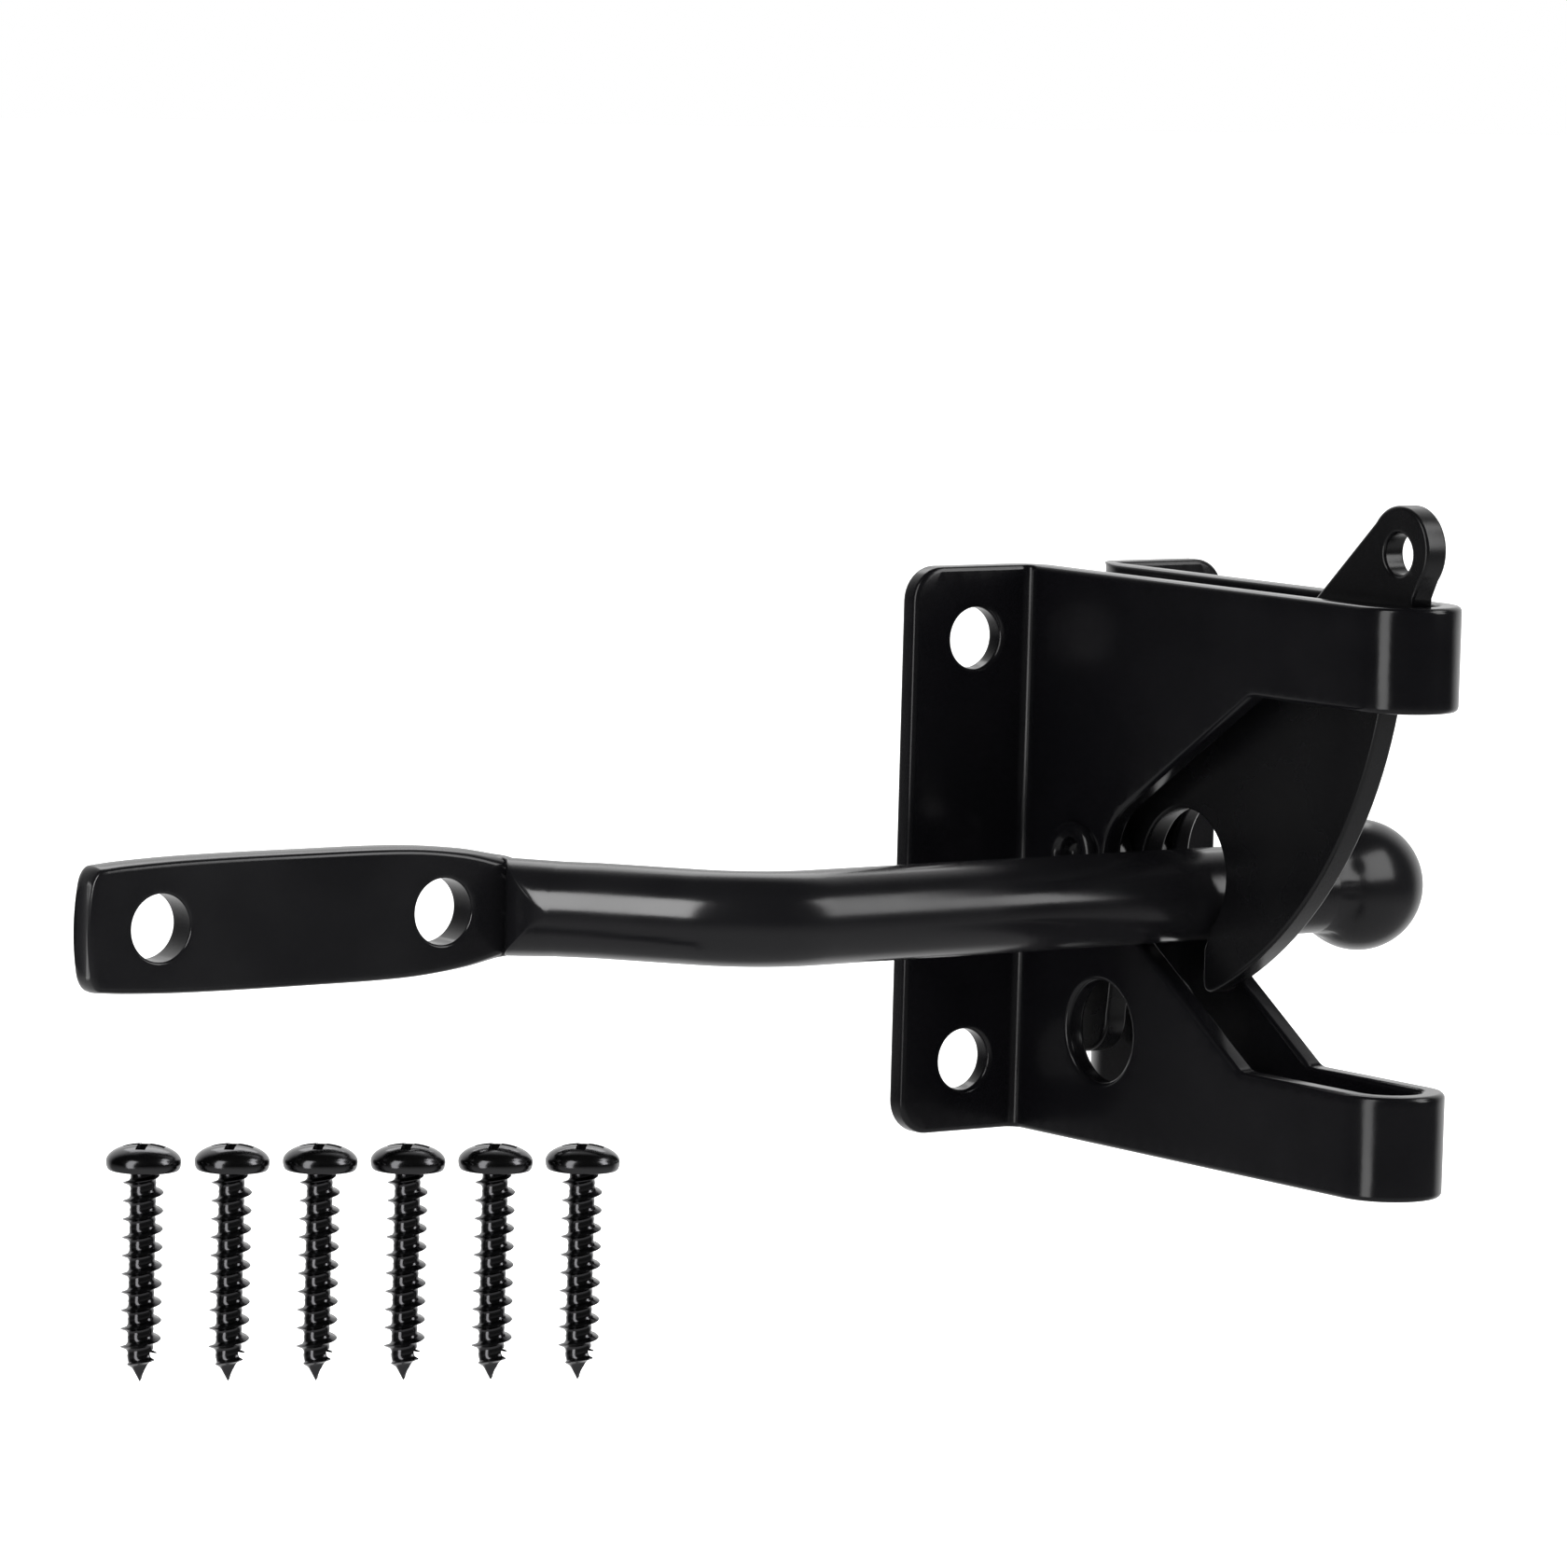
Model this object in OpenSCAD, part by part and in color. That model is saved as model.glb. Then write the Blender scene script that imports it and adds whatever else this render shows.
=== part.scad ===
// Gravity gate latch with a striker bar: a folded steel housing that screws to a post,
// a pivoting cam pawl that drops over the bar, and a bar that screws to a gate.
// Frame: +Z up. The flanges' back faces lie in y = 0 and the housing reaches out to -Y.
// X runs along the striker bar, with its flat end at -X and its ball at +X.
// The origin is the centre of the four flange holes, on the mounting plane.

/* [Housing] */
// Height of the housing and its flanges
body_h = 74.6; // [60:0.1:90]
// Thickness of the folded plate
plate_t = 3.0; // [2:0.1:4]
// Width over the two side walls
wall_w = 14.4; // [12:0.1:20]
// Reach of the nose in front of the mounting plane
body_depth = 77.4; // [60:0.1:95]
// Width of each flange beyond the side wall
flange_w = 18.6; // [14:0.1:24]
// Radius of the flange's outer corners
flange_r = 4.5; // [1:0.1:8]
// Inside radius of the fold between a flange and its wall
fold_r = 1.2; // [0.5:0.1:3]
// Radius of the same fold on its back, where the wall opens towards the mounting plane
fold_back_r = 7.2; // [4.2:0.1:7.4]

/* [Flange holes] */
// Diameter of each flange hole
flange_hole_d = 8.0; // [5:0.1:9]
// Distance across between the holes
flange_hole_x = 31.2; // [26:0.1:40]
// Distance up between the holes
flange_hole_z = 55.6; // [45:0.1:62]

/* [Notch] */
// Height of each arm above and below the notch
arm_h = 13.3; // [9:0.1:18]
// Distance from the mounting plane to the notch's outer corners
notch_corner = 49.3; // [40:0.1:60]
// Distance from the mounting plane to the notch's root
notch_root = 20.5; // [17:0.1:28]
// Rise of each notch flank for one unit of reach
notch_slope = 0.668; // [0.5:0.01:0.9]

/* [Padlock hole] */
// Diameter of the padlock hole
padlock_d = 13.4; // [8:0.1:15]
// Distance from the mounting plane to its centre
padlock_f = 20.5; // [16:0.1:26]
// Height of its centre
padlock_z = -22.4; // [-28:0.1:-18]

/* [Pawl] */
// Thickness of the pawl
pawl_t = 3.4; // [2.5:0.1:5]
// Distance from the mounting plane to the pivot
pivot_f = 14.4; // [11:0.1:17]
// Diameter of the pivot's shank
pivot_d = 6.0; // [4:0.1:8]
// Radius of the camming edge
cam_r = 57.75; // [45:0.05:70]
// Distance from the mounting plane to the camming edge's centre
cam_f = 11.8; // [5:0.1:20]
// Height of the camming edge's centre
cam_z = 36.6; // [25:0.1:45]
// Radius of the hook's opening
hook_r = 8.5; // [7:0.1:11]
// Radius of the ear
ear_r = 5.6; // [4:0.1:8]
// Diameter of the cord hole in the ear
cord_d = 5.3; // [3:0.1:6]

/* [Striker] */
// Diameter of the round bar
bar_d = 12.0; // [10:0.1:14]
// Distance from the mounting plane to the bar's axis
bar_f = 30.3; // [26:0.1:36]
// Height of the bar's axis
bar_z = -3.65; // [-5:0.05:3]
// Thickness of the flat end
flat_t = 4.4; // [3:0.1:6]
// Width of the flat end
flat_w = 16.6; // [13:0.1:20]
// Length of the flat end
flat_l = 60.5; // [45:0.1:75]
// Diameter of each hole in the flat end
flat_hole_d = 8.4; // [5:0.1:9]
// Distance between the holes in the flat end
flat_hole_x = 41.2; // [30:0.1:50]
// Distance from the flat's outer end to its first hole
flat_hole_end = 10.2; // [7:0.1:15]
// Centreline radius of the bend
bend_r = 16; // [10:0.5:25]
// Diameter of the ball end
ball_d = 17.3; // [14:0.1:22]
// Distance from the latch's centre to the ball's centre
ball_x = 27.7; // [20:0.1:40]

/* [Screws] */
// Diameter of the pan head
head_d = 9.2; // [7:0.1:12]
// Height of the pan head
head_h = 3.2; // [2.5:0.1:5]
// Diameter over the thread
thread_d = 5.0; // [3.5:0.1:6.5]
// Diameter of the thread's core
core_d = 3.1; // [2.4:0.1:5]
// Length under the head
screw_l = 26.1; // [15:0.1:40]
// Thread pitch
pitch = 2.25; // [1.2:0.05:3]

/* [Hidden] */
half_h = body_h / 2;
wall_out = wall_w / 2;
wall_in = wall_out - plate_t;
nose_f = body_depth - wall_out;
notch_h = half_h - arm_h;
notch_apex = notch_corner - notch_h / notch_slope;
notch_a = atan(notch_slope);
root_r = (notch_root - notch_apex) / (1 / sin(notch_a) - 1);
flat_z = bar_z - 0.3;
flat_end_x = -150.6;
flat_in_x = flat_end_x + flat_l;
diag_a = 54;
diag_run = (bar_f - flat_t / 2) / tan(diag_a);
corner_x = flat_in_x + diag_run;
bend_cut = bend_r * tan(diag_a / 2);
ball_seat = sqrt(pow(ball_d / 2, 2) - pow(bar_d / 2, 2));
spacer_t = wall_in - pawl_t / 2 - 0.1;
screw_row_a = -26.0;
screw_gap = 10.8;
screw_first = [-143.8, -6.7, -33.1];
$fn = 96;

black_coat = [0.035, 0.035, 0.04];
black_zinc = [0.06, 0.06, 0.065];

// A plate drawn as reach and height, standing across X from x0
module side_plate(x0, t) {
  translate([x0, 0, 0])
    rotate([90, 0, 90])
      linear_extrude(t)
        mirror([1, 0])
          children();
}

// A hole or pin along X at a reach and a height
module along_x(f, z, d, x0, x1) {
  translate([x0, -f, z])
    rotate([0, 90, 0])
      cylinder(d = d, h = x1 - x0);
}

// A hole along Y through the mounting plane
module along_y(x, z, d, y0, y1) {
  translate([x, y0, z])
    rotate([-90, 0, 0])
      cylinder(d = d, h = y1 - y0);
}

// Plan of one side: flange, fold and wall
module half_plan() {
  fold_x = -wall_out - fold_r;
  fold_y = -plate_t - fold_r;
  difference() {
    union() {
      translate([-wall_out - flange_w, -plate_t])
        square([flange_w + plate_t, plate_t]);
      translate([-wall_out, -nose_f])
        square([plate_t, nose_f]);
      translate([fold_x, fold_y])
        square(fold_r + plate_t / 2);
    }
    translate([fold_x, fold_y])
      circle(r = fold_r);
    translate([-wall_in - fold_back_r, -fold_back_r])
      difference() {
        square(fold_back_r + 1);
        circle(r = fold_back_r);
      }
  }
}

// Plan of the whole folded plate
module body_plan() {
  half_plan();
  mirror([1, 0])
    half_plan();
  translate([0, -nose_f])
    intersection() {
      difference() {
        circle(r = wall_out);
        circle(r = wall_in);
      }
      translate([-wall_out, -wall_out])
        square([wall_w, wall_out]);
    }
}

// The wedge notch, with a round root
module notch_shape() {
  tangent_z = root_r * cos(notch_a);
  tangent_f = notch_apex + tangent_z / notch_slope;
  polygon([[tangent_f, tangent_z], [notch_corner, notch_h], [body_depth + 5, notch_h],
           [body_depth + 5, -notch_h], [notch_corner, -notch_h], [tangent_f, -tangent_z]]);
  translate([notch_root + root_r, 0])
    circle(r = root_r);
}

// Rounds one outer corner of a flange
module corner_cut(sx, sz) {
  cx = wall_out + flange_w - flange_r;
  cz = half_h - flange_r;
  scale_x = sx > 0 ? 0 : 1;
  scale_z = sz > 0 ? 0 : 1;
  mirror([scale_x, 0, 0])
    mirror([0, 0, scale_z])
      difference() {
        translate([cx, -plate_t - 1, cz])
          cube([flange_r + 1, plate_t + 2, flange_r + 1]);
        along_y(cx, cz, flange_r * 2, -plate_t - 2, 2);
      }
}

module latch_body() {
  color(black_coat)
    difference() {
      translate([0, 0, -half_h])
        linear_extrude(body_h)
          body_plan();
      side_plate(-wall_w, wall_w * 2)
        notch_shape();
      for (sx = [-1, 1])
        for (sz = [-1, 1]) {
          corner_cut(sx, sz);
          along_y(sx * flange_hole_x / 2, sz * flange_hole_z / 2, flange_hole_d, -plate_t - 1, 1);
        }
      along_x(padlock_f, padlock_z, padlock_d, -wall_w, wall_w);
      along_x(pivot_f, 0, pivot_d, -wall_w, wall_w);
    }
}

// A disc of the pawl's own thickness at a reach and a height
module pawl_disc(f, z, r) {
  along_x(f, z, r * 2, -pawl_t / 2, pawl_t / 2);
}

// Web and cam sector: the straight edges run up to the ear, the cam edge is round
module pawl_sector() {
  difference() {
    side_plate(-pawl_t / 2, pawl_t)
      polygon([[14.4, 0], [13.9, 8.0], [22, 10.5], [40, 23.2], [66.75, 48.1], [70.5, 44.1],
               [75.0, 40.95], [73.65, 38.2], [73.65, 36.4], [69.3, 28.6], [80, -10], [80, -40],
               [20, -40], [20, -4]]);
    difference() {
      side_plate(-pawl_t, pawl_t * 2)
        translate([15, -60])
          square([80, 90]);
      along_x(cam_f, cam_z, cam_r * 2, -pawl_t * 2, pawl_t * 2);
    }
  }
}

// Mouth of the hook, and the sweep that lets it lift past the bar
module hook_mouth() {
  intersection() {
    along_x(pivot_f, 0, 45.4, -pawl_t, pawl_t);
    side_plate(-pawl_t, pawl_t * 2)
      translate([30, -10.6])
        square([8, 5.6]);
  }
  side_plate(-pawl_t, pawl_t * 2)
    polygon([[13, -2], [13, -50], [34.75, -50], [34.75, -8.2], [30.1, -0.9]]);
}

module pawl() {
  color(black_coat)
    difference() {
      union() {
        difference() {
          pawl_sector();
          hook_mouth();
        }
        pawl_disc(70.5, 44.1, ear_r);
        pawl_disc(pivot_f, 0, 8.2);
        pawl_disc(10.2, -21.6, 5);
        side_plate(-pawl_t / 2, pawl_t)
          polygon([[6.3, 0], [5.3, -21.6], [15.1, -21.6], [15.4, -19.8], [15.8, -16],
                   [16.2, -12], [17.8, -9], [20.5, -4.5], [21.2, 0]]);
      }
      along_x(30.1, -0.9, hook_r * 2, -pawl_t, pawl_t);
      along_x(pivot_f, 0, pivot_d + 0.1, -pawl_t, pawl_t);
      along_x(70.5, 43.6, cord_d, -pawl_t, pawl_t);
    }
}

// Tubular rivet: a rolled rim on the near side and a low round head on the far side
module pivot_rivet() {
  color(black_coat)
    translate([0, -pivot_f, 0])
      rotate([0, 90, 0]) {
        translate([0, 0, -wall_out - 0.3])
          cylinder(d = pivot_d, h = wall_w + 0.5);
        translate([0, 0, -wall_out])
          rotate_extrude()
            intersection() {
              union() {
                translate([3.45, -0.2])
                  circle(r = 1.15);
                translate([2.4, -0.3])
                  square([2.1, 0.3]);
              }
              translate([0, -3])
                square([6, 3]);
            }
        translate([0, 0, wall_out])
          rotate_extrude()
            intersection() {
              translate([0, -6.2])
                circle(r = 8);
              square([5, 3]);
            }
      }
}

// Plain washer that holds the pawl central between the walls
module spacer(x0) {
  color(black_coat)
    translate([x0, -pivot_f, 0])
      rotate([0, 90, 0])
        difference() {
          cylinder(d = 11, h = spacer_t);
          translate([0, 0, -1])
            cylinder(d = pivot_d + 0.1, h = spacer_t + 2);
        }
}

module spacer_near() {
  spacer(-wall_in);
}

module spacer_far() {
  spacer(wall_in - spacer_t);
}

// Rounded outline of the flat end, drawn in X and Z
module flat_shape() {
  hull() {
    translate([flat_end_x + 2.2, flat_w / 2 - 2.9])
      circle(r = 2, $fn = 32);
    translate([flat_end_x + 2.2, -flat_w / 2 + 2.9])
      circle(r = 2, $fn = 32);
    translate([flat_end_x + 1.4, 0])
      circle(r = 1.4, $fn = 32);
    translate([flat_end_x + 26, flat_w / 2 - 1])
      circle(r = 1, $fn = 32);
    translate([flat_end_x + 26, -flat_w / 2 + 1])
      circle(r = 1, $fn = 32);
    translate([flat_end_x + 46, flat_w / 2 - 1])
      circle(r = 1, $fn = 32);
    translate([flat_end_x + 46, -flat_w / 2 + 1])
      circle(r = 1, $fn = 32);
    translate([flat_in_x - 0.5, 0])
      square([1, bar_d - 0.4], center = true);
  }
}

module striker_bar() {
  straight_x = corner_x + bend_cut;
  diag_l = diag_run / cos(diag_a);
  color(black_coat) {
    difference() {
      translate([0, 0, flat_z])
        rotate([90, 0, 0])
          linear_extrude(flat_t)
            flat_shape();
      for (i = [0, 1])
        along_y(flat_end_x + flat_hole_end + i * flat_hole_x, flat_z, flat_hole_d, -flat_t - 1, 1);
    }
    along_x(bar_f, bar_z, bar_d, straight_x, ball_x - ball_seat);
    translate([straight_x, -bar_f + bend_r, bar_z])
      rotate([0, 0, -91 - diag_a])
        rotate_extrude(angle = diag_a + 2)
          translate([bend_r, 0])
            circle(d = bar_d + 0.06);
    translate([corner_x, -bar_f, bar_z])
      rotate([0, 0, 180 - diag_a])
        rotate([0, 90, 0])
          translate([0, 0, bend_cut])
            cylinder(d = bar_d, h = diag_l - bend_cut - 10.5);
    hull() {
      translate([corner_x, -bar_f, bar_z])
        rotate([0, 0, 180 - diag_a])
          rotate([0, 90, 0])
            translate([0, 0, diag_l - 11])
              cylinder(d = bar_d - 0.1, h = 0.6, $fn = 32);
      translate([flat_in_x - 1, -flat_t, flat_z - bar_d / 2 + 0.2])
        cube([1.4, flat_t, bar_d - 0.4]);
    }
  }
}

module striker_ball() {
  color(black_coat)
    translate([ball_x, -bar_f, bar_z])
      rotate([0, 90, 0])
        intersection() {
          sphere(d = ball_d);
          translate([0, 0, -ball_seat])
            cylinder(d = ball_d + 2, h = ball_d + 2);
        }
}

// One pan-head screw, standing on its tip, with its head's underside at z = 0
module screw() {
  turns = floor((screw_l - 4) / pitch);
  rotate_extrude()
    intersection() {
      union() {
        square([head_d / 2, head_h * 0.45]);
        translate([0, head_h - 7.2])
          circle(r = 7.2);
      }
      square([head_d / 2, head_h]);
    }
  translate([0, 0, -screw_l + 2.6])
    cylinder(d = core_d, h = screw_l - 2.6);
  translate([0, 0, -screw_l])
    cylinder(d1 = 0.4, d2 = core_d, h = 2.6);
  for (i = [0:turns - 1])
    translate([0, 0, -1.6 - i * pitch])
      rotate_extrude()
        polygon([[0, -0.75], [core_d / 2, -0.75], [thread_d / 2, -0.12], [thread_d / 2, 0.12],
                 [core_d / 2, 0.75], [0, 0.75]]);
}

// Places a run of screws side by side in one row
module screw_row(first, count) {
  color(black_zinc)
    for (i = [first:first + count - 1])
      translate(screw_first + i * screw_gap * [cos(screw_row_a), sin(screw_row_a), 0])
        screw();
}

module striker_screws() {
  screw_row(0, 2);
}

module latch_screws() {
  screw_row(2, 4);
}

latch_body();
pawl();
pivot_rivet();
spacer_near();
spacer_far();
striker_bar();
striker_ball();
latch_screws();
striker_screws();
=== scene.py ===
import math

import bmesh
import bpy
import numpy as np
from mathutils import Matrix, Vector, noise
from mathutils.geometry import delaunay_2d_cdt


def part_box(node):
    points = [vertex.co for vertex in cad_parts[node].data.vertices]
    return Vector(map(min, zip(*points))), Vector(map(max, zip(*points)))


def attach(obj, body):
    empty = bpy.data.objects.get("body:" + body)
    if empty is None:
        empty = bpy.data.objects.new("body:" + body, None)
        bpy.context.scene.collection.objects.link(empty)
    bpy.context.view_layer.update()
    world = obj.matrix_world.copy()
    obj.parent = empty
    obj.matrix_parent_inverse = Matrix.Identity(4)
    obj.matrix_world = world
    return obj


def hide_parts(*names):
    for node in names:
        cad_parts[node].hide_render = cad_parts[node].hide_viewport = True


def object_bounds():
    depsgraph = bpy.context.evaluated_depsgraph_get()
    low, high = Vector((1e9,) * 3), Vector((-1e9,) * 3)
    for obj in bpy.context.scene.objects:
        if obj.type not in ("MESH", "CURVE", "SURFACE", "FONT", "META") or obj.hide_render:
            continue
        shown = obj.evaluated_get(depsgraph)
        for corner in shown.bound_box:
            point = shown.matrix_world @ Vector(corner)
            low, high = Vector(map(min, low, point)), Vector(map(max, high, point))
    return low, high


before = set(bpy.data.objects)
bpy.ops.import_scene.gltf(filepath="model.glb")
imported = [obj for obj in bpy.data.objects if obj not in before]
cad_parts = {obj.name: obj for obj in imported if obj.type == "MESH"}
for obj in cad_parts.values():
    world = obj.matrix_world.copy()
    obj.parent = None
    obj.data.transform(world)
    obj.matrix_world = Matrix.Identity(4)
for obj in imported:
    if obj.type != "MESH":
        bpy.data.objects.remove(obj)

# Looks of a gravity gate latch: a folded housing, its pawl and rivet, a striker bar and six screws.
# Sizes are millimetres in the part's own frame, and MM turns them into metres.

MM = 0.001
cad_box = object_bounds()


def node_box(node):
    """Lowest and highest corners of a CAD node, in millimetres."""
    low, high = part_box(node)
    return low / MM, high / MM


body_low, body_high = node_box("latch_body")
bar_low, _ = node_box("striker_bar")
_, ball_high = node_box("striker_ball")
pawl_low, pawl_high = node_box("pawl")

# Housing. A reach (_f) is counted from the mounting plane at Y = 0 towards -Y.
# flange_hole is (x, height, radius), and padlock_hole is (reach, height, radius).
half_h = body_high.z
plate_t = 3.0
wall_out = 7.2
wall_mid = wall_out - plate_t / 2
nose_f = -body_low.y - wall_out
fold_in = 1.2
fold_back = 7.2
fold_mid = fold_in + plate_t / 2
flange_r = 4.5
plate_edge = 0.7
flange_hole = (15.6, 27.8, 4.0)
padlock_hole = (20.5, -22.4, 6.7)
pivot_f = 14.4
pivot_r = 3.0
notch_corner = 49.3
notch_root = 20.5
notch_slope = 0.668
notch_h = half_h - 13.3
notch_corner_r = 0.9

# Pawl
pawl_t = pawl_high.x - pawl_low.x
pawl_edge = 0.5
tip_reach = 2.6

# Striker. flat_hole is (first hole from the flat end, gap to the second, radius).
bar_r = 6.0
bar_f = 30.3
bar_z = -3.65
flat_t = 4.4
flat_z = bar_z - 0.3
flat_end_x = bar_low.x
flat_in_x = flat_end_x + 60.5
flat_hole = (10.2, 41.2, 4.2)
diag_a = math.radians(54)
bend_r = 16
ball_r = ball_high.z - bar_z
ball_x = ball_high.x - ball_r
ball_seat = math.sqrt(ball_r**2 - bar_r**2)

# Screws. The head's underside is at z = 0 in a screw's own frame.
head_r = 4.6
head_h = 3.2
thread_r = 2.5
core_r = 1.55
screw_l = 26.1
pitch = 2.25
screw_gap = 10.8
screw_row_a = math.radians(-26)
screw_first = (-143.8, -6.7, -33.1)

# Meshes: merging distances in metres, and the longest stretch of an outline in millimetres
merge_gap = 2e-6
sliver_gap = 1e-5
outline_step = 0.6


# ---------------------------------------------------------------- mesh helpers

def finish_mesh(name, bm, sharp_deg=38):
    """Turns a bmesh in millimetres into an object in metres, smooth but for its sharp edges."""
    bmesh.ops.scale(bm, vec=(MM, MM, MM), verts=bm.verts)
    bmesh.ops.remove_doubles(bm, verts=bm.verts, dist=merge_gap)
    bmesh.ops.dissolve_degenerate(bm, edges=bm.edges, dist=1e-7)
    bmesh.ops.recalc_face_normals(bm, faces=bm.faces)
    mesh = bpy.data.meshes.new(name)
    bm.to_mesh(mesh)
    bm.free()
    mesh.shade_smooth()
    mesh.set_sharp_from_angle(angle=math.radians(sharp_deg))
    obj = bpy.data.objects.new(name, mesh)
    bpy.context.scene.collection.objects.link(obj)
    return obj


def even_normals(obj):
    """Large flat faces keep their own normal, so that only the rounded rims shade as round."""
    weighted = obj.modifiers.new("even_normals", "WEIGHTED_NORMAL")
    weighted.keep_sharp = True
    weighted.weight = 80


def apply_boolean(obj, cutter, operation):
    """Cuts or joins with another object, which is then removed, and merges the slivers left."""
    modifier = obj.modifiers.new("boolean", "BOOLEAN")
    modifier.operation = operation
    modifier.solver = "EXACT"
    modifier.object = cutter
    depsgraph = bpy.context.evaluated_depsgraph_get()
    mesh = bpy.data.meshes.new_from_object(obj.evaluated_get(depsgraph))
    bm = bmesh.new()
    bm.from_mesh(mesh)
    bmesh.ops.remove_doubles(bm, verts=bm.verts, dist=sliver_gap)
    bmesh.ops.dissolve_degenerate(bm, edges=bm.edges, dist=sliver_gap)
    bm.to_mesh(mesh)
    bm.free()
    obj.modifiers.clear()
    obj.data = mesh
    bpy.data.objects.remove(cutter)


def arc(cx, cy, r, start, stop, steps):
    """Points on an arc, with the angles in degrees."""
    angles = np.radians(np.linspace(start, stop, steps + 1))
    return [(cx + r * math.cos(a), cy + r * math.sin(a)) for a in angles]


def bend(start, corner, stop, t):
    """The point at t, from 0 to 1, on the curve from start to stop that is drawn towards corner."""
    return start * (1 - t) ** 2 + corner * 2 * t * (1 - t) + stop * t**2


def round_corner(before, corner, after, r, steps=5):
    """A corner of an outline as a small curve that starts and ends r away from it."""
    corner = Vector(corner)
    start = corner + (Vector(before) - corner).normalized() * r
    stop = corner + (Vector(after) - corner).normalized() * r
    return [tuple(bend(start, corner, stop, k / steps)) for k in range(steps + 1)]


def blunt(loop, reach, steps=10):
    """The same outline with its sharpest corner rounded over a length of reach on each side."""
    points = [Vector(p) for p in turned(loop, True)]
    ahead = points[1:] + points[:1]
    turns = [(here - points[i - 1]).angle(ahead[i] - here) for i, here in enumerate(points)]
    tip = turns.index(max(turns))
    rest = points[tip:] + points[:tip + 1]
    for _ in range(2):
        left = reach
        while (rest[1] - rest[0]).length < left:
            left -= (rest[1] - rest[0]).length
            rest.pop(0)
        rest[0] = rest[0] + (rest[1] - rest[0]).normalized() * left
        rest.reverse()
    start, corner, stop = rest[-1], points[tip], rest[0]
    rest += [bend(start, corner, stop, k / steps) for k in range(1, steps)]
    return [tuple(p) for p in rest]


def densify(loop, step):
    """The same closed outline with no stretch longer than step."""
    points = []
    for here, there in zip(loop, loop[1:] + loop[:1]):
        length = math.dist(here, there)
        if length < 1e-6:
            continue
        pieces = max(1, math.ceil(length / step))
        for k in range(pieces):
            t = k / pieces
            points.append((here[0] + (there[0] - here[0]) * t, here[1] + (there[1] - here[1]) * t))
    return points


def turned(loop, left):
    """The loop as an array, turned so that the material is on its left."""
    points = np.array(loop)
    x, y = points[:, 0], points[:, 1]
    area = (x * np.roll(y, -1) - np.roll(x, -1) * y).sum()
    return points if (area > 0) == left else points[::-1].copy()


def inward(points):
    """Directions into the material at each point of a loop, lengthened at its corners."""
    ahead = np.roll(points, -1, axis=0) - points
    ahead /= np.linalg.norm(ahead, axis=1)[:, None]
    left = np.stack([-ahead[:, 1], ahead[:, 0]], axis=1)
    mean = left + np.roll(left, 1, axis=0)
    mean /= np.linalg.norm(mean, axis=1)[:, None]
    return mean / np.maximum((mean * left).sum(axis=1), 0.6)[:, None]


def inside(points, loops):
    """Which points lie in the material, by counting the outlines crossed on the way out."""
    result = np.zeros(len(points), bool)
    px, py = points[:, 0], points[:, 1]
    for loop in loops:
        for (x0, y0), (x1, y1) in zip(loop, np.roll(loop, -1, axis=0)):
            if y0 == y1:
                continue
            crosses = (y0 > py) != (y1 > py)
            result ^= crosses & (px < (x1 - x0) * (py - y0) / (y1 - y0) + x0)
    return result


def plate(name, outer, holes, thickness, edge_r, place, lattice=None, edge_steps=4):
    """A plate cut to an outline with holes, with rounded rims. place(u, v, t) lays it in space."""
    clear_of_rim = 0.35
    bm = bmesh.new()
    loops = [turned(outer, True)] + [turned(hole, False) for hole in holes]
    flat = thickness / 2 - edge_r
    quarter = np.linspace(0, math.pi / 2, edge_steps + 1)
    rim = [(-flat, a) for a in -quarter[::-1]] + [(flat, a) for a in quarter]
    cap_loops = []
    for loop in loops:
        normals = inward(loop)
        rings = []
        for middle, a in rim:
            ring = loop + normals * edge_r * (1 - math.cos(a))
            t = middle + edge_r * math.sin(a)
            rings.append([bm.verts.new(place(u, v, t)) for u, v in ring])
        for lower, upper in zip(rings, rings[1:]):
            for i in range(len(loop)):
                j = (i + 1) % len(loop)
                bm.faces.new((lower[i], lower[j], upper[j], upper[i]))
        cap_loops.append(loop + normals * edge_r)
    rims = np.concatenate(cap_loops)
    edges = []
    first = 0
    for loop in cap_loops:
        n = len(loop)
        edges += [(first + i, first + (i + 1) % n) for i in range(n)]
        first += n
    points = rims
    if lattice is not None:
        keep = lattice[inside(lattice, cap_loops)]
        gap = np.array([np.min(np.abs(rims - p).max(axis=1)) for p in keep])
        points = np.concatenate([rims, keep[gap > clear_of_rim]])
    flat_verts, _, triangles, *_ = delaunay_2d_cdt([Vector(p) for p in points], edges, [], 0, 1e-6)
    flat_verts = np.array([tuple(v) for v in flat_verts])
    centres = np.array([flat_verts[list(t)].mean(axis=0) for t in triangles])
    kept = [t for t, ok in zip(triangles, inside(centres, cap_loops)) if ok]
    for side in (-1, 1):
        verts = [bm.verts.new(place(u, v, side * thickness / 2)) for u, v in flat_verts]
        for t in kept:
            bm.faces.new([verts[k] for k in t])
    bmesh.ops.delete(bm, geom=[v for v in bm.verts if not v.link_faces], context="VERTS")
    obj = finish_mesh(name, bm)
    even_normals(obj)
    return obj


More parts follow.
